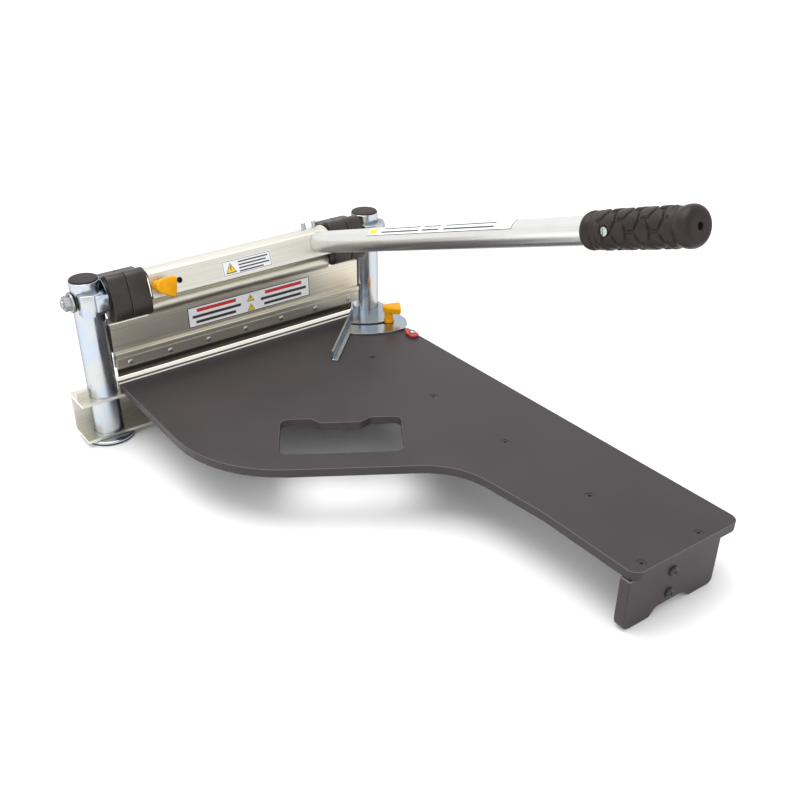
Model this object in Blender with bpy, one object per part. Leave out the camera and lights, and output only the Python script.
"""Guillotine tile and plank cutter: posts, lever beam, sliding blade carrier and a table with a wing.

Frame: metres, +Z up, X along the blade, the table and the lever reach toward -Y.
Origin: on the floor, midway between the two posts.
"""
import math

import bmesh
import bpy
from mathutils import Matrix, Vector

MM = 0.001
GAP = 0.3 * MM

# posts and feet
POST_X = 175.0 * MM
POST_R = 16.0 * MM
POST_WALL = 2.0 * MM
POST_TOP = 185.0 * MM
FOOT_R = 28.0 * MM
FOOT_H = 3.0 * MM
PAD_H = 2.0 * MM
PAD_R = 27.0 * MM
CAP_R = 14.9 * MM
CAP_RIM_H = 1.1 * MM
CAP_DOME_H = 0.4 * MM

# base channel, lying on its side and open to the front
BASE_HALF = 206.0 * MM
BASE_FRONT = -17.5 * MM
BASE_BACK = 21.5 * MM
BASE_LOW = 5.6 * MM
BASE_TOP = 53.4 * MM
BASE_WALL = 3.6 * MM
POST_HOLE_R = POST_R + GAP
RIDGE_FRONT = -3.4 * MM
RIDGE_BACK = -1.4 * MM
RIDGE_TOP = 62.5 * MM
RIDGE_NOTCH = 17.0 * MM

# anvil bar in front of the ridge, the blade falls between the two
ANVIL_HALF = 160.0 * MM
ANVIL_FRONT = -11.1 * MM
ANVIL_BACK = -8.3 * MM
ANVIL_TOP = 62.9 * MM

# table
TABLE_TOP = 62.7 * MM
TABLE_T = 9.0 * MM
TABLE_BACK = -11.4 * MM
TABLE_LEFT = -158.5 * MM
TABLE_RIGHT = 178.6 * MM
TABLE_END = -558.5 * MM
WING_LEFT = 49.4 * MM
TABLE_EDGE = 1.3 * MM
FRONT_CORNER = (-158.5 * MM, -226.2 * MM)
FRONT_CORNER_R = 132.0 * MM
WAIST = (38.6 * MM, -350.8 * MM)
WAIST_R = 75.0 * MM
WING_START = (49.4 * MM, -452.0 * MM)
WING_START_R = 200.0 * MM
END_CORNER_R = 10.0 * MM
BACK_CORNER_R = 2.0 * MM
HOLE_ANGLE = -32.5
HOLE_CENTRE = (-21.4 * MM, -241.5 * MM)
HOLE_LENGTH = 122.5 * MM
HOLE_WIDTH = 66.5 * MM
HOLE_R = 9.0 * MM
HOLE_BAY = 31.0 * MM
HOLE_SLOPE = 10.0 * MM
HOLE_STEP = 9.0 * MM
TABLE_SCREW_X = 100.5 * MM
TABLE_SCREW_Y = (-121.5 * MM, -233.7 * MM, -345.9 * MM, -458.1 * MM)
END_SCREW_X = (65.2 * MM, 134.7 * MM)
SCREW_HEAD_R = 4.0 * MM
SCREW_SHANK_R = 2.0 * MM
SCREW_HEAD_H = 2.2 * MM
SCREW_LENGTH = 22.0 * MM

# leg under the wing end
LEG_FRONT = -555.0 * MM
LEG_T = 11.0 * MM
LEG_LEFT = 48.0 * MM
LEG_RIGHT = 160.8 * MM
LEG_NOTCH_LEFT = 84.0 * MM
LEG_NOTCH_RIGHT = 127.0 * MM
LEG_NOTCH_H = 8.0 * MM
LEG_NOTCH_RUN = 4.0 * MM
LEG_CORNER_R = 9.0 * MM
LEG_SCREW_X = 101.5 * MM
LEG_SCREW_Z = (18.0 * MM, 41.0 * MM)
LEG_SCREW_R = 2.4 * MM
LEG_SCREW_LENGTH = 24.0 * MM

# batten under the table, between the channel and the leg
BATTEN_LEFT = 92.0 * MM
BATTEN_RIGHT = 110.0 * MM
BATTEN_LOW = 12.0 * MM

# lever pivot
BOLT_HEAD_R = 8.4 * MM
PIVOT_Z = 163.5 * MM
PIVOT_R = 5.0 * MM
LEVER_ANGLE = math.radians(17.5)

# beam, measured from the pivot with the lever level
BEAM_HALF = 112.3 * MM
BEAM_FRONT = 22.0 * MM
BEAM_LOW = -15.5 * MM
BEAM_WALL = 3.4 * MM
BEAM_ARCH_Y = -5.0 * MM
BEAM_ARCH_Z = -7.2 * MM
BEAM_ARCH_R = 24.7 * MM
BEAM_LIP_Z = 4.0 * MM

# lever tube and grip, distances from the pivot along the lever
TUBE_X = 98.0 * MM
TUBE_R = 12.2 * MM
TUBE_WALL = 2.0 * MM
TUBE_END = 542.0 * MM
GRIP_START = 448.0 * MM
GRIP_END = 551.0 * MM
GRIP_BORE_R = TUBE_R + 0.1 * MM
GRIP_SCREW_AT = 474.5 * MM

# nylon cams, two at each end of the beam
CAM_INNER = 114.6 * MM
CAM_SPLIT = 136.8 * MM
CAM_OUTER = 157.0 * MM
CAM_WASHER_R = 17.6 * MM

# blade carrier
CARRIER_HALF = 158.2 * MM
WEB_FRONT = -7.2 * MM
WEB_BACK = -3.2 * MM
WEB_TOP = 130.5 * MM
BEAD_Y = -6.8 * MM
BEAD_Z = 140.5 * MM
BEAD_R = 8.6 * MM
BEAD_HALF = 114.3 * MM
RIB_TOP = 97.6 * MM
RIB_LOW = 91.9 * MM
RIB_FRONT = -11.0 * MM
LAP_FRONT = -4.4 * MM
LAP_BACK = -1.4 * MM
LAP_LOW = 79.6 * MM
BLADE_LEFT = -157.0 * MM
BLADE_RIGHT = 149.0 * MM
BLADE_FRONT = -7.3 * MM
BLADE_BACK = -4.7 * MM
BLADE_TOP = 91.6 * MM
BLADE_LOW = 68.0 * MM
BLADE_BEVEL = 5.0 * MM
BLADE_TIP = 0.3 * MM
STRIP_FRONT = -10.2 * MM
STRIP_BACK = -7.6 * MM
STRIP_TOP = 91.4 * MM
STRIP_LOW = 79.3 * MM
STRIP_SCREW_X0 = -142.5 * MM
STRIP_SCREW_STEP = 47.5 * MM
STRIP_SCREW_Z = 85.1 * MM
STRIP_SCREW_R = 1.8 * MM
STRIP_HEAD_R = 3.0 * MM
STRIP_HEAD_H = 1.1 * MM
STRIP_SCREW_LENGTH = 8.4 * MM
STRIP_SCREWS = 7

# angle fence round the right post
FENCE_Z = TABLE_TOP + GAP
FENCE_T = 2.4 * MM
FENCE_HUB_R = 20.0 * MM
FENCE_OUTER_R = 85.0 * MM
FENCE_ARM_ANGLE = 225.0
FENCE_ARM_LENGTH = 148.0 * MM
FENCE_TIP = 8.0 * MM
FENCE_ARM_NEAR = 2.8 * MM
FENCE_ARM_FAR = 12.0 * MM
FENCE_LIP_H = 9.0 * MM
FENCE_LIP_START = 32.0 * MM
FENCE_RIGHT_X = 191.5 * MM
SLOT_R = 59.0 * MM
SLOT_HALF = 3.2 * MM
SLOT_START = 221.0
SLOT_END = 268.0
KNOB_ANGLE = 264.0

# moulded knobs
KNOB_STEM_R = 6.0 * MM
KNOB_STEM_H = 13.0 * MM
KNOB_HEAD_H = 7.5 * MM
KNOB_NARROW_R = 7.2 * MM
KNOB_REACH = 14.5 * MM
KNOB_WIDE = 11.4 * MM
KNOB_CORNER_R = 3.6 * MM
LOCK_KNOB_X = -105.0 * MM
LOCK_KNOB_UP = -2.5 * MM
SPARE_HOLE_X = -79.0 * MM
SPARE_HOLE_R = 3.3 * MM
STUD_R = 2.6 * MM

RIGHT = Vector((1.0, 0.0, 0.0))
UP = Vector((0.0, 0.0, 1.0))
FRONT = Vector((0.0, -1.0, 0.0))
PIVOT = Vector((0.0, 0.0, PIVOT_Z))

FINISHES = {
    "channel_aluminium": ((0.62, 0.60, 0.56), 1.0, 0.38),
    "tube_aluminium": ((0.66, 0.66, 0.65), 1.0, 0.28),
    "carrier_aluminium": ((0.60, 0.58, 0.53), 1.0, 0.40),
    "zinc": ((0.70, 0.73, 0.76), 1.0, 0.24),
    "screw_zinc": ((0.62, 0.64, 0.66), 1.0, 0.30),
    "blade_steel": ((0.30, 0.28, 0.26), 1.0, 0.35),
    "anvil_steel": ((0.72, 0.70, 0.66), 1.0, 0.30),
    "table_laminate": ((0.075, 0.068, 0.070), 0.0, 0.45),
    "leg_laminate": ((0.080, 0.072, 0.075), 0.0, 0.48),
    "black_nylon": ((0.035, 0.031, 0.030), 0.0, 0.42),
    "black_cap": ((0.045, 0.040, 0.041), 0.0, 0.45),
    "black_rubber": ((0.030, 0.028, 0.028), 0.0, 0.70),
    "grip_rubber": ((0.030, 0.026, 0.027), 0.0, 0.32),
    "orange_plastic": ((0.95, 0.48, 0.01), 0.0, 0.35),
    "red_plastic": ((0.48, 0.05, 0.05), 0.0, 0.35),
    "black_screw": ((0.030, 0.028, 0.028), 0.6, 0.35),
}


def clear_scene():
    """Remove every object left from before."""
    for item in list(bpy.data.objects):
        bpy.data.objects.remove(item, do_unlink=True)


def finish(obj, slot):
    """Give the object a Principled material of its own."""
    colour, metallic, roughness = FINISHES[slot]
    mat = bpy.data.materials.new(obj.name + "_" + slot)
    mat.use_nodes = True
    shader = mat.node_tree.nodes["Principled BSDF"]
    shader.inputs["Base Color"].default_value = (*colour, 1.0)
    shader.inputs["Metallic"].default_value = metallic
    shader.inputs["Roughness"].default_value = roughness
    mat.diffuse_color = (*colour, 1.0)
    obj.data.materials.clear()
    obj.data.materials.append(mat)


def from_bmesh(name, shape):
    """Turn a bmesh into a linked object with outward normals."""
    bmesh.ops.recalc_face_normals(shape, faces=shape.faces[:])
    mesh = bpy.data.meshes.new(name)
    shape.to_mesh(mesh)
    shape.free()
    obj = bpy.data.objects.new(name, mesh)
    bpy.context.scene.collection.objects.link(obj)
    return obj


def prism(name, outline, axis, low, high):
    """Extrude a closed outline from low to high along 'X', 'Y' or 'Z'."""
    place = {
        "X": lambda a, b, t: (t, a, b),
        "Y": lambda a, b, t: (a, t, b),
        "Z": lambda a, b, t: (a, b, t),
    }[axis]
    shape = bmesh.new()
    lower = [shape.verts.new(place(a, b, low)) for a, b in outline]
    upper = [shape.verts.new(place(a, b, high)) for a, b in outline]
    count = len(outline)
    shape.faces.new(lower)
    shape.faces.new(upper[::-1])
    for i in range(count):
        j = (i + 1) % count
        shape.faces.new((lower[i], upper[i], upper[j], lower[j]))
    return from_bmesh(name, shape)


def box(name, low, high):
    """Axis-aligned block between two corners."""
    outline = [(low[0], low[1]), (high[0], low[1]), (high[0], high[1]), (low[0], high[1])]
    return prism(name, outline, "Z", low[2], high[2])


def side_frame(direction):
    """Two unit vectors square to the direction."""
    along = direction.normalized()
    helper = UP if abs(along.z) < 0.9 else RIGHT
    side = along.cross(helper).normalized()
    return side, along.cross(side).normalized()


def turned(name, profile, start, direction, segments=36):
    """Revolve (distance, radius) pairs about a line; a zero radius makes a pole."""
    along = direction.normalized()
    side, across = side_frame(along)
    shape = bmesh.new()
    rings = []
    for distance, radius in profile:
        centre = start + along * distance
        if radius < 1e-7:
            rings.append([shape.verts.new(centre)])
            continue
        ring = []
        for k in range(segments):
            angle = 2.0 * math.pi * k / segments
            offset = side * math.cos(angle) + across * math.sin(angle)
            ring.append(shape.verts.new(centre + offset * radius))
        rings.append(ring)
    pairs = list(zip(rings, rings[1:]))
    if len(rings[0]) > 1 or len(rings[-1]) > 1:
        pairs.append((rings[-1], rings[0]))
    for one, two in pairs:
        if len(one) == 1 and len(two) == 1:
            continue
        for k in range(segments):
            n = (k + 1) % segments
            if len(one) == 1:
                shape.faces.new((one[0], two[k], two[n]))
            elif len(two) == 1:
                shape.faces.new((one[k], two[0], one[n]))
            else:
                shape.faces.new((one[k], two[k], two[n], one[n]))
    return from_bmesh(name, shape)


def rod(name, start, direction, length, radius, segments=24, chamfer=0.0):
    """Solid round bar with an optional chamfer at both ends."""
    if chamfer > 0.0:
        profile = [(0.0, 0.0), (0.0, radius - chamfer), (chamfer, radius)]
        profile += [(length - chamfer, radius), (length, radius - chamfer), (length, 0.0)]
    else:
        profile = [(0.0, 0.0), (0.0, radius), (length, radius), (length, 0.0)]
    return turned(name, profile, start, direction, segments)


def boolean(target, tool, operation):
    """Apply an exact Boolean and drop the tool."""
    tool.hide_render = True
    tool.display_type = "WIRE"
    step = target.modifiers.new("step", "BOOLEAN")
    step.solver = "EXACT"
    step.operation = operation
    step.object = tool
    bpy.context.view_layer.update()
    graph = bpy.context.evaluated_depsgraph_get()
    result = bpy.data.meshes.new_from_object(target.evaluated_get(graph))
    target.modifiers.clear()
    old = target.data
    target.data = result
    bpy.data.meshes.remove(old)
    bpy.data.objects.remove(tool, do_unlink=True)
    return target


def cut(target, *tools):
    """Subtract each tool in turn."""
    for tool in tools:
        boolean(target, tool, "DIFFERENCE")
    return target


def fuse(target, *tools):
    """Add each tool in turn."""
    for tool in tools:
        boolean(target, tool, "UNION")
    return target


def soften(target, width, segments=2, angle=40.0):
    """Bevel the sharp edges and bake the result."""
    step = target.modifiers.new("edge", "BEVEL")
    step.width = width
    step.segments = segments
    step.limit_method = "ANGLE"
    step.angle_limit = math.radians(angle)
    step.use_clamp_overlap = True
    bpy.context.view_layer.update()
    graph = bpy.context.evaluated_depsgraph_get()
    result = bpy.data.meshes.new_from_object(target.evaluated_get(graph))
    target.modifiers.clear()
    old = target.data
    target.data = result
    bpy.data.meshes.remove(old)
    return target


def done(obj, name, slot, origin=None, smooth_angle=35.0):
    """Name, shade and finish a part, with its origin where it turns or slides."""
    obj.name = name
    obj.data.name = name
    if origin is not None:
        obj.data.transform(Matrix.Translation(-Vector(origin)))
        obj.location = Vector(origin)
    for face in obj.data.polygons:
        face.use_smooth = True
    obj.data.set_sharp_from_angle(angle=math.radians(smooth_angle))
    finish(obj, slot)
    return obj


def lever_done(obj, name, slot, spot=PIVOT):
    """Finish a part drawn with the lever level: raise it about the pivot to its rest angle."""
    lift = Matrix.Translation(PIVOT) @ Matrix.Rotation(-LEVER_ANGLE, 4, "X") @ Matrix.Translation(-PIVOT)
    obj.data.transform(lift)
    return done(obj, name, slot, lift @ Vector(spot))


def arc(centre, radius, start, end, steps):
    """Points along a circular arc, angles in degrees."""
    points = []
    for k in range(steps + 1):
        angle = math.radians(start + (end - start) * k / steps)
        points.append((centre[0] + radius * math.cos(angle), centre[1] + radius * math.sin(angle)))
    return points


def rounded(corners, steps=6):
    """Round each (x, y, radius) corner of a closed outline with a tangent arc."""
    points = []
    count = len(corners)
    for i, (x, y, radius) in enumerate(corners):
        here = Vector((x, y))
        before = (Vector(corners[i - 1][:2]) - here).normalized()
        after = (Vector(corners[(i + 1) % count][:2]) - here).normalized()
        if radius <= 0.0:
            points.append((x, y))
            continue
        half = before.angle(after) / 2.0
        reach = radius / math.tan(half)
        centre = here + (before + after).normalized() * (radius / math.sin(half))
        first = here + before * reach - centre
        last = here + after * reach - centre
        turn = first.angle_signed(last)
        for k in range(steps + 1):
            angle = -turn * k / steps
            spun = Vector((
                first.x * math.cos(angle) - first.y * math.sin(angle),
                first.x * math.sin(angle) + first.y * math.cos(angle),
            ))
            points.append((centre.x + spun.x, centre.y + spun.y))
    return points


def base_channel():
    """C-channel with a ridge along its top, bored for the two posts."""
    outline = [
        (BASE_BACK, BASE_LOW),
        (BASE_BACK, BASE_TOP),
        (RIDGE_BACK, BASE_TOP),
        (RIDGE_BACK, RIDGE_TOP),
        (RIDGE_FRONT, RIDGE_TOP),
        (RIDGE_FRONT, BASE_TOP),
        (BASE_FRONT, BASE_TOP),
        (BASE_FRONT, BASE_TOP - BASE_WALL),
        (BASE_BACK - BASE_WALL, BASE_TOP - BASE_WALL),
        (BASE_BACK - BASE_WALL, BASE_LOW + BASE_WALL),
        (BASE_FRONT, BASE_LOW + BASE_WALL),
        (BASE_FRONT, BASE_LOW),
    ]
    part = prism("base", outline, "X", -BASE_HALF, BASE_HALF)
    for side in (-1.0, 1.0):
        x = side * POST_X
        cut(part, rod("hole", Vector((x, 0.0, 0.0)), UP, 0.1, POST_HOLE_R, 48))
        low = (x - RIDGE_NOTCH, RIDGE_FRONT - MM, BASE_TOP)
        high = (x + RIDGE_NOTCH, RIDGE_BACK + MM, RIDGE_TOP + MM)
        cut(part, box("notch", low, high))
    done(part, "base_channel", "channel_aluminium")


def anvil_bar():
    """Steel edge the blade shears against, in front of the ridge."""
    low = (-ANVIL_HALF, ANVIL_FRONT, BASE_TOP + GAP)
    bar = soften(box("bar", low, (ANVIL_HALF, ANVIL_BACK, ANVIL_TOP)), 0.3 * MM, 1)
    done(bar, "anvil_bar", "anvil_steel")


def posts():
    """Two zinc-plated tubes with caps, feet and the fittings at pivot height."""
    for side, tag in ((-1.0, "left"), (1.0, "right")):
        x = side * POST_X
        foot = Vector((x, 0.0, 0.0))
        low = PAD_H + FOOT_H + 2.0 * GAP
        inner = POST_R - POST_WALL
        profile = [(low, POST_R), (POST_TOP, POST_R), (POST_TOP, inner), (low, inner)]
        tube = turned("tube", profile, foot, UP, 48)
        cut(tube, rod("bore", Vector((x - 0.03, 0.0, PIVOT_Z)), RIGHT, 0.06, PIVOT_R + GAP, 16))
        done(tube, "post_" + tag, "zinc")
        post_cap(tag, foot)
        profile = [
            (PAD_H + GAP, 0.0),
            (PAD_H + GAP, FOOT_R - 0.4 * MM),
            (PAD_H + GAP + 0.4 * MM, FOOT_R),
            (PAD_H + GAP + FOOT_H - 1.0 * MM, FOOT_R),
            (PAD_H + GAP + FOOT_H, FOOT_R - 1.2 * MM),
            (PAD_H + GAP + FOOT_H, 0.0),
        ]
        done(turned("foot", profile, foot, UP, 40), "foot_disc_" + tag, "zinc")
        done(rod("pad", foot, UP, PAD_H, PAD_R, 32, 0.5 * MM), "foot_pad_" + tag, "black_rubber")
        pivot_bolt(side, tag, x)
        saddle(side, tag, x)
        cam_washer(side, tag, x)


def post_cap(tag, foot):
    """Low cap resting on the rim of the tube, with a plug inside it."""
    low = POST_TOP + GAP
    plug_r = POST_R - POST_WALL - GAP
    profile = [
        (low - 8.0 * MM, 0.0),
        (low - 8.0 * MM, plug_r),
        (low, plug_r),
        (low, CAP_R - 0.2 * MM),
        (low + 0.2 * MM, CAP_R),
        (low + CAP_RIM_H - 0.4 * MM, CAP_R),
        (low + CAP_RIM_H, CAP_R - 0.5 * MM),
        (low + CAP_RIM_H + 0.7 * CAP_DOME_H, CAP_R * 0.62),
        (low + CAP_RIM_H + CAP_DOME_H, 0.0),
    ]
    done(turned("cap", profile, foot, UP, 40), "post_cap_" + tag, "black_cap")


def pivot_bolt(side, tag, x):
    """Bolt through the post into the cams, hexagon head and washer on the outer face."""
    outward = Vector((side, 0.0, 0.0))
    start = Vector((side * CAM_INNER, 0.0, PIVOT_Z))
    seat = abs(x) + POST_R + GAP - CAM_INNER
    tip_r = PIVOT_R - 0.6 * MM
    tip = seat + 11.6 * MM
    profile = [
        (0.0, 0.0),
        (0.0, PIVOT_R),
        (seat, PIVOT_R),
        (seat, 11.0 * MM),
        (seat + 2.2 * MM, 11.0 * MM),
        (seat + 2.2 * MM, tip_r),
        (tip - 0.6 * MM, tip_r),
        (tip, tip_r - 0.6 * MM),
        (tip, 0.0),
    ]
    bolt = turned("bolt", profile, start, outward, 20)
    low = seat + 1.7 * MM
    high = seat + 9.0 * MM
    hexagon = [(low, 0.0), (low, BOLT_HEAD_R), (high, BOLT_HEAD_R), (high, 0.0)]
    head = turned("head", hexagon, start, outward, 6)
    done(fuse(bolt, head), "pivot_bolt_" + tag, "screw_zinc")


def saddle(side, tag, x):
    """Plated collar hugging the front of the post at pivot height, with a square boss."""
    low = PIVOT_Z - 12.0 * MM
    high = PIVOT_Z + 11.5 * MM
    outline = [
        (x - 13.0 * MM, -20.0 * MM),
        (x - 3.0 * MM, -24.5 * MM),
        (x + 3.0 * MM, -24.5 * MM),
        (x + 13.0 * MM, -20.0 * MM),
        (x + 13.6 * MM, -6.0 * MM),
        (x - 13.6 * MM, -6.0 * MM),
    ]
    block = soften(prism("block", outline, "Z", low, high), 1.0 * MM, 2)
    near = x - side * 0.5 * MM
    far = x - side * 14.2 * MM
    nut = box(
        "nut",
        (min(near, far), -27.6 * MM, PIVOT_Z - 6.6 * MM),
        (max(near, far), -19.0 * MM, PIVOT_Z + 10.6 * MM),
    )
    fuse(block, soften(nut, 0.8 * MM, 2))
    hollow = rod("hollow", Vector((x, 0.0, low - 2.0 * MM)), UP, high - low + 5.0 * MM, POST_R + GAP, 40)
    done(cut(block, hollow), "post_saddle_" + tag, "zinc")


def cam_washer(side, tag, x):
    """Thin disc between the post and the outer cam."""
    start = Vector((side * (CAM_OUTER + GAP), 0.0, PIVOT_Z))
    length = abs(x) - POST_R - CAM_OUTER - 2.0 * GAP
    hole = PIVOT_R + GAP
    profile = [(0.0, hole), (0.0, CAM_WASHER_R), (length, CAM_WASHER_R), (length, hole)]
    done(turned("disc", profile, start, Vector((side, 0.0, 0.0)), 32), "cam_washer_" + tag, "zinc")


def table_outline():
    """Plan of the table: square back, rounded front corner, slanted front, long wing."""
    return rounded([
        (TABLE_LEFT, TABLE_BACK, BACK_CORNER_R),
        (TABLE_RIGHT, TABLE_BACK, BACK_CORNER_R),
        (TABLE_RIGHT, TABLE_END, END_CORNER_R),
        (WING_LEFT, TABLE_END, END_CORNER_R),
        (*WING_START, WING_START_R),
        (*WAIST, WAIST_R),
        (*FRONT_CORNER, FRONT_CORNER_R),
    ], 8)


def hand_hole():
    """Carrying slot whose far side steps in at the middle."""
    half_l = HOLE_LENGTH / 2.0
    half_w = HOLE_WIDTH / 2.0
    bay = half_l - HOLE_BAY
    step = bay - HOLE_SLOPE
    local = rounded([
        (-half_l, -half_w, HOLE_R),
        (half_l, -half_w, HOLE_R),
        (half_l, half_w, HOLE_R * 0.8),
        (bay, half_w, 4.0 * MM),
        (step, half_w - HOLE_STEP, 4.0 * MM),
        (-step, half_w - HOLE_STEP, 4.0 * MM),
        (-bay, half_w, 4.0 * MM),
        (-half_l, half_w, HOLE_R),
    ], 5)
    angle = math.radians(HOLE_ANGLE)
    placed = []
    for a, b in local:
        placed.append((
            HOLE_CENTRE[0] + a * math.cos(angle) - b * math.sin(angle),
            HOLE_CENTRE[1] + a * math.sin(angle) + b * math.cos(angle),
        ))
    return prism("hand", placed, "Z", TABLE_TOP - TABLE_T - MM, TABLE_TOP + MM)


def table_screw_places():
    """Centres of the countersunk table screws: batten first, then leg."""
    places = [(TABLE_SCREW_X, y) for y in TABLE_SCREW_Y]
    middle = LEG_FRONT + LEG_T / 2.0
    return places + [(x, middle) for x in END_SCREW_X]


def countersunk(grow, length):
    """Head, shank and point of a countersunk screw, measured down from the head face."""
    top = 0.0 if grow == 0.0 else -MM
    return [
        (top, 0.0),
        (top, SCREW_HEAD_R + grow),
        (0.4 * MM + grow, SCREW_HEAD_R + grow),
        (SCREW_HEAD_H + grow, SCREW_SHANK_R + grow),
        (length - 2.0 * MM, SCREW_SHANK_R + grow),
        (length, 0.0),
    ]


def pan_head(radius, height, shank, length):
    """Pan-head screw profile from the head's crown to the shank's end."""
    return [
        (-height, 0.0),
        (-height, radius * 0.45),
        (-height * 0.72, radius * 0.82),
        (-height * 0.25, radius),
        (0.0, radius),
        (0.0, shank),
        (length, shank),
        (length, 0.0),
    ]


def recess(face, inward, depth, reach=2.0 * MM, half=0.5 * MM):
    """Cross-shaped driver recess made of two bars."""
    side, across = side_frame(inward)
    bars = []
    for one, two in ((side, across), (across, side)):
        shape = bmesh.new()
        ends = []
        for level in (-0.5 * MM, depth):
            ring = []
            for a, b in ((-1, -1), (1, -1), (1, 1), (-1, 1)):
                spot = face + inward * level + one * (a * reach) + two * (b * half)
                ring.append(shape.verts.new(spot))
            ends.append(ring)
        shape.faces.new(ends[0])
        shape.faces.new(ends[1][::-1])
        for k in range(4):
            n = (k + 1) % 4
            shape.faces.new((ends[0][k], ends[1][k], ends[1][n], ends[0][n]))
        bars.append(from_bmesh("bar", shape))
    return bars


def leg_outline():
    """Front view of the leg: two feet with a shallow arch between them."""
    top = TABLE_TOP - TABLE_T - GAP
    return rounded([
        (LEG_LEFT, 0.0, LEG_CORNER_R),
        (LEG_NOTCH_LEFT - LEG_NOTCH_RUN, 0.0, 2.5 * MM),
        (LEG_NOTCH_LEFT + LEG_NOTCH_RUN, LEG_NOTCH_H, 4.0 * MM),
        (LEG_NOTCH_RIGHT - LEG_NOTCH_RUN, LEG_NOTCH_H, 4.0 * MM),
        (LEG_NOTCH_RIGHT + LEG_NOTCH_RUN, 0.0, 2.5 * MM),
        (LEG_RIGHT, 0.0, LEG_CORNER_R * 0.7),
        (LEG_RIGHT, top, 0.0),
        (LEG_LEFT, top, 0.0),
    ], 5)


def table_and_leg():
    """Laminate table, leg, batten and their screws."""
    board = prism("board", table_outline(), "Z", TABLE_TOP - TABLE_T, TABLE_TOP)
    post_notch = rod("notch", Vector((POST_X, 0.0, TABLE_TOP - 0.02)), UP, 0.03, POST_R + GAP, 48)
    cut(board, hand_hole(), post_notch)
    soften(board, TABLE_EDGE, 1, 60.0)
    leg = prism("leg", leg_outline(), "Y", LEG_FRONT, LEG_FRONT + LEG_T)
    soften(leg, 0.9 * MM, 1, 60.0)
    batten = box(
        "batten",
        (BATTEN_LEFT, LEG_FRONT + LEG_T + GAP, BATTEN_LOW),
        (BATTEN_RIGHT, BASE_FRONT - GAP, TABLE_TOP - TABLE_T - GAP),
    )
    soften(batten, 0.8 * MM, 1)
    for number, (x, y) in enumerate(table_screw_places(), start=1):
        start = Vector((x, y, TABLE_TOP - 0.3 * MM))
        holder = batten if number <= len(TABLE_SCREW_Y) else leg
        for part in (board, holder):
            cut(part, turned("c", countersunk(GAP, SCREW_LENGTH + MM), start, -UP, 12))
        screw = turned("screw", countersunk(0.0, SCREW_LENGTH), start, -UP, 16)
        cut(screw, *recess(start, -UP, 1.3 * MM))
        done(screw, "table_screw_%d" % number, "black_screw")
    for number, z in enumerate(LEG_SCREW_Z, start=1):
        start = Vector((LEG_SCREW_X, LEG_FRONT - GAP, z))
        for part in (leg, batten):
            cut(part, rod("bore", start, -FRONT, LEG_SCREW_LENGTH + MM, LEG_SCREW_R + GAP, 12))
        profile = pan_head(5.0 * MM, 2.8 * MM, LEG_SCREW_R, LEG_SCREW_LENGTH)
        screw = turned("screw", profile, start, -FRONT, 20)
        cut(screw, *recess(start + FRONT * 2.8 * MM, -FRONT, 1.6 * MM))
        done(screw, "leg_screw_%d" % number, "black_screw")
    done(board, "table_board", "table_laminate")
    done(leg, "leg_panel", "leg_laminate")
    done(batten, "table_batten", "leg_laminate")


def lever_point(reach, rise, x=0.0):
    """Point with the lever level: reach ahead of the pivot and rise above it."""
    return PIVOT + Vector((x, -reach, rise))


def beam_outline():
    """Section of the lever beam: front wall, arched top and a rear lip, open behind."""
    front = -BEAM_FRONT
    wall = BEAM_WALL
    centre = (BEAM_ARCH_Y, BEAM_ARCH_Z)
    points = [(front, BEAM_LOW)]
    points += arc(centre, BEAM_ARCH_R, 133.4, 46.0, 14)
    points += [(12.2 * MM, BEAM_LIP_Z), (9.4 * MM, BEAM_LIP_Z)]
    points += arc(centre, BEAM_ARCH_R - wall, 48.0, 136.5, 12)
    points += [(front + wall, BEAM_LOW + 3.0 * MM), (front + wall + 2.4 * MM, BEAM_LOW + 3.0 * MM)]
    points += [(front + wall + 2.4 * MM, BEAM_LOW)]
    return [(y, PIVOT_Z + z) for y, z in points]


def lever():
    """Beam, lever tube, its bolts, grip and lock knob, drawn level and then raised."""
    beam = prism("beam", beam_outline(), "X", -BEAM_HALF, BEAM_HALF)
    soften(beam, 0.5 * MM, 1, 50.0)
    for x in (LOCK_KNOB_X, SPARE_HOLE_X):
        start = lever_point(BEAM_FRONT + MM, LOCK_KNOB_UP, x)
        cut(beam, rod("hole", start, -FRONT, BEAM_WALL + 2.0 * MM, SPARE_HOLE_R, 20))
    start = lever_point(BEAM_FRONT + GAP, 0.0, TUBE_X)
    length = TUBE_END - BEAM_FRONT - GAP
    inner = TUBE_R - TUBE_WALL
    profile = [(0.0, TUBE_R), (length, TUBE_R), (length, inner), (0.0, inner)]
    tube = turned("tube", profile, start, FRONT, 40)
    lever_done(tube, "lever_tube", "tube_aluminium")
    for number, x in enumerate((TUBE_X - 7.0 * MM, TUBE_X + 7.0 * MM), start=1):
        start = lever_point(4.0 * MM, 24.0 * MM, x)
        cut(beam, rod("bore", start, -UP, 14.0 * MM, 3.0 * MM + GAP, 14))
        bolt = rod("bolt", start, -UP, 13.0 * MM, 3.0 * MM, 16, 0.5 * MM)
        lever_done(bolt, "lever_bolt_%d" % number, "screw_zinc")
    lever_done(beam, "lever_beam", "channel_aluminium")
    grip()
    foot = lever_point(BEAM_FRONT + GAP, LOCK_KNOB_UP, LOCK_KNOB_X)
    knob = moulded_knob(foot, FRONT, (RIGHT * 0.965 - UP * 0.26).normalized())
    pin = rod("pin", foot + FRONT * MM, -FRONT, 6.0 * MM, SPARE_HOLE_R - GAP, 16)
    lever_done(fuse(knob, pin), "lock_knob", "orange_plastic", foot)


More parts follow.
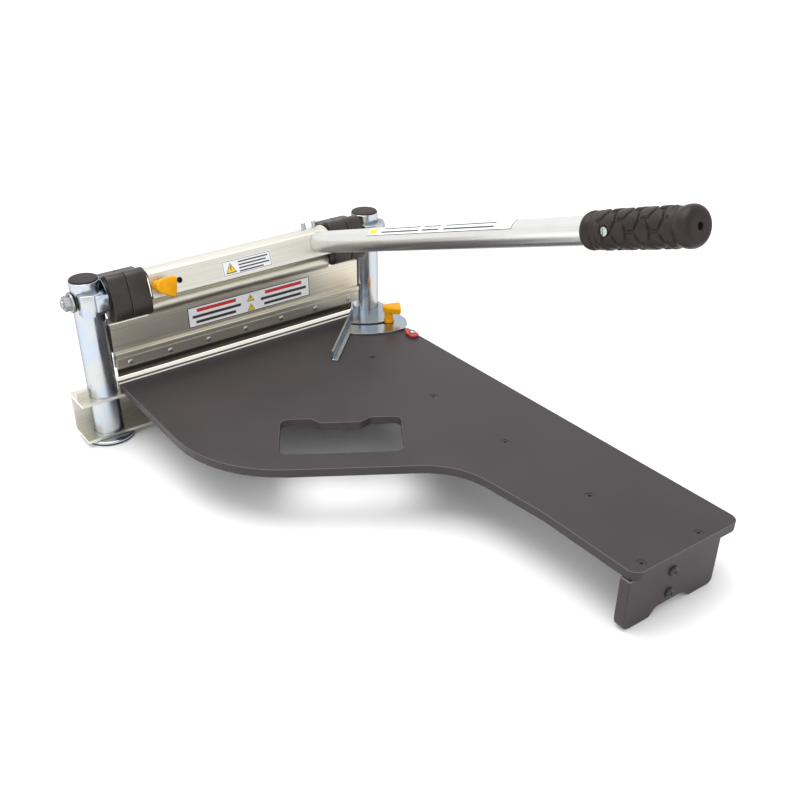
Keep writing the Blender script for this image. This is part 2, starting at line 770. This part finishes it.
def grip():
    """Moulded sleeve with flanges, closed at the end, and the screw that holds it."""
    length = GRIP_END - GRIP_START
    outer = [
        (0.0, GRIP_BORE_R),
        (0.0, 13.8 * MM),
        (1.2 * MM, 14.9 * MM),
        (4.0 * MM, 15.4 * MM),
        (7.0 * MM, 15.0 * MM),
        (9.0 * MM, 14.0 * MM),
        (11.0 * MM, 14.9 * MM),
        (14.0 * MM, 15.4 * MM),
        (31.0 * MM, 15.4 * MM),
        (33.5 * MM, 14.4 * MM),
        (56.0 * MM, 14.8 * MM),
        (80.0 * MM, 14.6 * MM),
        (86.0 * MM, 13.8 * MM),
        (89.0 * MM, 14.6 * MM),
        (93.0 * MM, 15.6 * MM),
        (97.5 * MM, 15.8 * MM),
        (100.6 * MM, 15.0 * MM),
        (length - 0.8 * MM, 13.0 * MM),
        (length, 9.0 * MM),
        (length, 3.4 * MM),
        (length - 4.0 * MM, 3.0 * MM),
        (length - 4.0 * MM, 0.0),
    ]
    bore = TUBE_END - GRIP_START + GAP
    start = lever_point(GRIP_START, 0.0, TUBE_X)
    sleeve = turned("sleeve", outer + [(bore, 0.0), (bore, GRIP_BORE_R)], start, FRONT, 28)
    outward = (-RIGHT * 0.995 + UP * 0.1).normalized()
    seat = lever_point(GRIP_SCREW_AT, 0.0, TUBE_X) + outward * 15.4 * MM
    cut(sleeve, rod("seat", seat + outward * 3.0 * MM, -outward, 4.6 * MM, 4.4 * MM, 20))
    head = seat - outward * 1.3 * MM
    profile = [(0.0, 0.0), (0.0, 3.9 * MM), (1.0 * MM, 3.6 * MM), (1.8 * MM, 2.0 * MM), (1.9 * MM, 0.0)]
    screw = turned("screw", profile, head, outward, 20)
    cut(screw, *recess(head + outward * 1.9 * MM, -outward, 1.0 * MM))
    lever_done(sleeve, "grip_sleeve", "grip_rubber")
    lever_done(screw, "grip_screw", "screw_zinc")


def moulded_knob(foot, out, wing):
    """Round stem under a fan-shaped head that reaches to one side."""
    stem = rod("stem", foot, out, KNOB_STEM_H + MM, KNOB_STEM_R, 24, 0.5 * MM)
    cross = out.cross(wing).normalized()
    plan = arc((0.0, 0.0), KNOB_NARROW_R, 110.0, 250.0, 9)
    wide = rounded([
        (0.0, 0.0, 0.0),
        (KNOB_REACH, -KNOB_WIDE, KNOB_CORNER_R),
        (KNOB_REACH, KNOB_WIDE, KNOB_CORNER_R),
    ], 5)
    plan += wide[1:]
    shape = bmesh.new()
    rings = []
    for level in (KNOB_STEM_H, KNOB_STEM_H + KNOB_HEAD_H):
        rings.append([shape.verts.new(foot + out * level + wing * a + cross * b) for a, b in plan])
    shape.faces.new(rings[0])
    shape.faces.new(rings[1][::-1])
    count = len(plan)
    for k in range(count):
        n = (k + 1) % count
        shape.faces.new((rings[0][k], rings[1][k], rings[1][n], rings[0][n]))
    head = soften(from_bmesh("head", shape), 1.2 * MM, 1, 40.0)
    return fuse(stem, head)


def cam_outline():
    """Section of a nylon cam with the lever level: flat front, waved top, spiral underside."""
    points = [
        (12.0, -7.0),
        (12.2, 0.0),
        (13.0, 10.0),
        (14.5, 15.6),
        (17.0, 17.4),
        (17.2, 19.4),
        (15.0, 20.6),
        (8.0, 20.2),
        (1.0, 18.6),
        (-5.0, 18.6),
        (-10.0, 19.8),
        (-16.0, 19.8),
        (-20.6, 18.2),
        (-23.8, 14.6),
        (-25.0, 9.0),
        (-25.2, -4.0),
        (-24.6, -17.0),
        (-22.4, -24.0),
        (-17.6, -29.0),
        (-10.0, -30.2),
        (-3.0, -29.6),
        (4.0, -27.0),
        (9.0, -21.6),
        (11.4, -14.6),
    ]
    return [(y * MM, PIVOT_Z + z * MM) for y, z in points]


def cams():
    """Two cams side by side at each end of the beam, bored for the pivot bolt."""
    spans = (
        ("cam_left_outer", -CAM_OUTER, -CAM_SPLIT - GAP),
        ("cam_left_inner", -CAM_SPLIT, -CAM_INNER),
        ("cam_right_inner", CAM_INNER, CAM_SPLIT),
        ("cam_right_outer", CAM_SPLIT + GAP, CAM_OUTER),
    )
    for name, low, high in spans:
        block = soften(prism("block", cam_outline(), "X", low, high), 0.7 * MM, 1, 50.0)
        length = high - low + 2.0 * MM
        bore = rod("bore", Vector((low - MM, 0.0, PIVOT_Z)), RIGHT, length, PIVOT_R + GAP, 20)
        lever_done(cut(block, bore), name, "black_nylon")


def carrier():
    """Extruded blade carrier with guide shoes, blade, clamp strip and screws."""
    rise = Vector((0.0, 0.0, WEB_TOP))
    outline = [
        (WEB_BACK, RIB_LOW),
        (WEB_BACK, WEB_TOP),
        (WEB_FRONT, WEB_TOP),
        (WEB_FRONT, RIB_TOP + 0.8 * MM),
        (RIB_FRONT + 0.8 * MM, RIB_TOP),
        (RIB_FRONT, RIB_TOP - 0.8 * MM),
        (RIB_FRONT, RIB_LOW + 0.8 * MM),
        (RIB_FRONT + 0.8 * MM, RIB_LOW),
        (LAP_FRONT, RIB_LOW),
        (LAP_FRONT, LAP_LOW),
        (LAP_BACK, LAP_LOW),
        (LAP_BACK, RIB_LOW),
    ]
    body = prism("body", outline, "X", -CARRIER_HALF, CARRIER_HALF)
    bead = rod("bead", Vector((-BEAD_HALF, BEAD_Y, BEAD_Z)), RIGHT, 2.0 * BEAD_HALF, BEAD_R, 28, 0.6 * MM)
    neck = box(
        "neck",
        (-BEAD_HALF + MM, WEB_FRONT + 0.6 * MM, WEB_TOP - 2.0 * MM),
        (BEAD_HALF - MM, WEB_BACK - 0.6 * MM, BEAD_Z),
    )
    fuse(body, bead, neck)
    blade_outline = [
        (BLADE_BACK, BLADE_LOW),
        (BLADE_BACK, BLADE_TOP),
        (BLADE_FRONT, BLADE_TOP),
        (BLADE_FRONT, BLADE_LOW + BLADE_BEVEL),
        (BLADE_BACK - BLADE_TIP, BLADE_LOW),
    ]
    blade = prism("blade", blade_outline, "X", BLADE_LEFT, BLADE_RIGHT)
    strip = box("strip", (-CARRIER_HALF, STRIP_FRONT, STRIP_LOW), (CARRIER_HALF, STRIP_BACK, STRIP_TOP))
    soften(strip, 0.4 * MM, 1)
    for index in range(STRIP_SCREWS):
        start = Vector((STRIP_SCREW_X0 + index * STRIP_SCREW_STEP, STRIP_FRONT - GAP, STRIP_SCREW_Z))
        for part in (blade, strip, body):
            bore = rod("bore", start, -FRONT, STRIP_SCREW_LENGTH + 2.0 * MM, STRIP_SCREW_R + GAP, 10)
            cut(part, bore)
        profile = pan_head(STRIP_HEAD_R, STRIP_HEAD_H, STRIP_SCREW_R, STRIP_SCREW_LENGTH)
        screw = turned("screw", profile, start, -FRONT, 14)
        cut(screw, *recess(start + FRONT * STRIP_HEAD_H, -FRONT, 0.7 * MM, 1.6 * MM, 0.4 * MM))
        done(screw, "strip_screw_%d" % (index + 1), "screw_zinc", rise)
    done(body, "blade_carrier", "carrier_aluminium", rise)
    done(blade, "blade", "blade_steel", rise)
    done(strip, "clamp_strip", "carrier_aluminium", rise)
    shoes(rise)


def shoes(rise):
    """Nylon guides behind the carrier ends, hollowed to ride on the posts."""
    low = RIB_TOP
    high = WEB_TOP - MM
    near = 146.0 * MM
    far = 165.0 * MM
    back = 15.0 * MM
    for side, tag in ((-1.0, "left"), (1.0, "right")):
        outline = [
            (side * near, WEB_BACK + GAP),
            (side * far, WEB_BACK + GAP),
            (side * far, back),
            (side * near, back),
        ]
        block = prism("shoe", outline, "Z", low, high)
        foot = Vector((side * POST_X, 0.0, low - MM))
        hollow = rod("hollow", foot, UP, high - low + 2.0 * MM, POST_R + GAP, 48)
        done(cut(block, hollow), "guide_shoe_" + tag, "black_nylon", rise)


def along_arm(distance, offset):
    """Plan point a distance along the fence arm and an offset to its far side."""
    angle = math.radians(FENCE_ARM_ANGLE)
    return (
        POST_X + math.cos(angle) * distance + math.sin(angle) * offset,
        math.sin(angle) * distance - math.cos(angle) * offset,
    )


def fence_outline():
    """Plan of the fence plate about the right post: hub, arm, arc and square side."""
    centre = (POST_X, 0.0)
    points = arc(centre, FENCE_HUB_R, 0.0, 150.0, 16)
    points += [along_arm(FENCE_HUB_R, FENCE_ARM_FAR)]
    points += [along_arm(FENCE_ARM_LENGTH, FENCE_ARM_FAR)]
    points += [along_arm(FENCE_ARM_LENGTH + FENCE_TIP, FENCE_ARM_FAR - 2.4 * MM)]
    points += [along_arm(FENCE_ARM_LENGTH + FENCE_TIP, FENCE_ARM_NEAR)]
    start = FENCE_ARM_ANGLE - math.degrees(math.asin(FENCE_ARM_NEAR / FENCE_OUTER_R))
    points += arc(centre, FENCE_OUTER_R, start, 268.0, 18)
    points += [(FENCE_RIGHT_X - 8.0 * MM, -76.0 * MM), (FENCE_RIGHT_X - 1.5 * MM, -66.0 * MM)]
    points += [(FENCE_RIGHT_X, -58.0 * MM)]
    return points


def slot_outline():
    """Plan of the arc slot with round ends."""
    centre = (POST_X, 0.0)
    first = arc(centre, SLOT_R, SLOT_START, SLOT_START, 1)[0]
    last = arc(centre, SLOT_R, SLOT_END, SLOT_END, 1)[0]
    points = arc(centre, SLOT_R + SLOT_HALF, SLOT_START, SLOT_END, 12)
    points += arc(last, SLOT_HALF, SLOT_END, SLOT_END + 180.0, 8)[1:-1]
    points += arc(centre, SLOT_R - SLOT_HALF, SLOT_END, SLOT_START, 12)
    points += arc(first, SLOT_HALF, SLOT_START + 180.0, SLOT_START + 360.0, 8)[1:-1]
    return points


def angle_fence():
    """Zinc fence: flat sector with an arc slot, and an arm with an upturned lip."""
    top = FENCE_Z + FENCE_T
    plate = prism("plate", fence_outline(), "Z", FENCE_Z, top)
    outer = FENCE_ARM_FAR - 0.05 * MM
    inner = FENCE_ARM_FAR - FENCE_T
    end = FENCE_ARM_LENGTH - 0.5 * MM
    lip = prism("lip", [
        along_arm(FENCE_LIP_START, inner),
        along_arm(FENCE_LIP_START, outer),
        along_arm(end, outer),
        along_arm(end, inner),
    ], "Z", FENCE_Z + 0.5 * MM, FENCE_Z + FENCE_LIP_H)
    fuse(plate, lip)
    cut(plate, prism("slot", slot_outline(), "Z", FENCE_Z - MM, top + MM))
    cut(plate, rod("hole", Vector((POST_X, 0.0, FENCE_Z - MM)), UP, 0.02, POST_R + GAP, 48))
    done(plate, "angle_fence", "zinc", (POST_X, 0.0, FENCE_Z))
    fence_knob()
    pointer()


def fence_knob():
    """Clamp knob standing in the arc slot, its stud in the table."""
    x, y = arc((POST_X, 0.0), SLOT_R, KNOB_ANGLE, KNOB_ANGLE, 1)[0]
    foot = Vector((x, y, FENCE_Z + FENCE_T + GAP))
    knob = moulded_knob(foot, UP, (RIGHT * 0.84 + FRONT * 0.54).normalized())
    stud = rod("stud", foot + UP * MM, -UP, FENCE_T + 8.0 * MM, STUD_R, 16)
    board = bpy.data.objects["table_board"]
    cut(board, rod("bore", foot, -UP, FENCE_T + 8.0 * MM, STUD_R + GAP, 14))
    board.data.set_sharp_from_angle(angle=math.radians(35.0))
    done(fuse(knob, stud), "fence_knob", "orange_plastic", foot)


def pointer():
    """Red pointer beside the fence and the screw that fixes it to the table."""
    low = TABLE_TOP + GAP
    high = low + 3.4 * MM
    plan = rounded([
        (166.0 * MM, -110.0 * MM, 4.0 * MM),
        (177.4 * MM, -110.0 * MM, 4.0 * MM),
        (177.4 * MM, -97.0 * MM, 3.0 * MM),
        (175.6 * MM, -87.4 * MM, 0.8 * MM),
        (171.6 * MM, -87.4 * MM, 0.8 * MM),
        (166.0 * MM, -97.0 * MM, 3.0 * MM),
    ], 4)
    body = soften(prism("body", plan, "Z", low, high), 0.7 * MM, 1, 50.0)
    seat = Vector((172.4 * MM, -101.5 * MM, high + GAP))
    board = bpy.data.objects["table_board"]
    for part in (body, board):
        cut(part, rod("bore", seat + UP * MM, -UP, 10.0 * MM, 1.6 * MM + GAP, 12))
    board.data.set_sharp_from_angle(angle=math.radians(35.0))
    screw = turned("screw", pan_head(3.9 * MM, 2.2 * MM, 1.6 * MM, 8.0 * MM), seat, -UP, 18)
    cut(screw, *recess(seat + UP * 2.2 * MM, -UP, 1.1 * MM))
    done(body, "angle_pointer", "red_plastic")
    done(screw, "pointer_screw", "screw_zinc")


clear_scene()
base_channel()
anvil_bar()
posts()
table_and_leg()
lever()
cams()
carrier()
angle_fence()
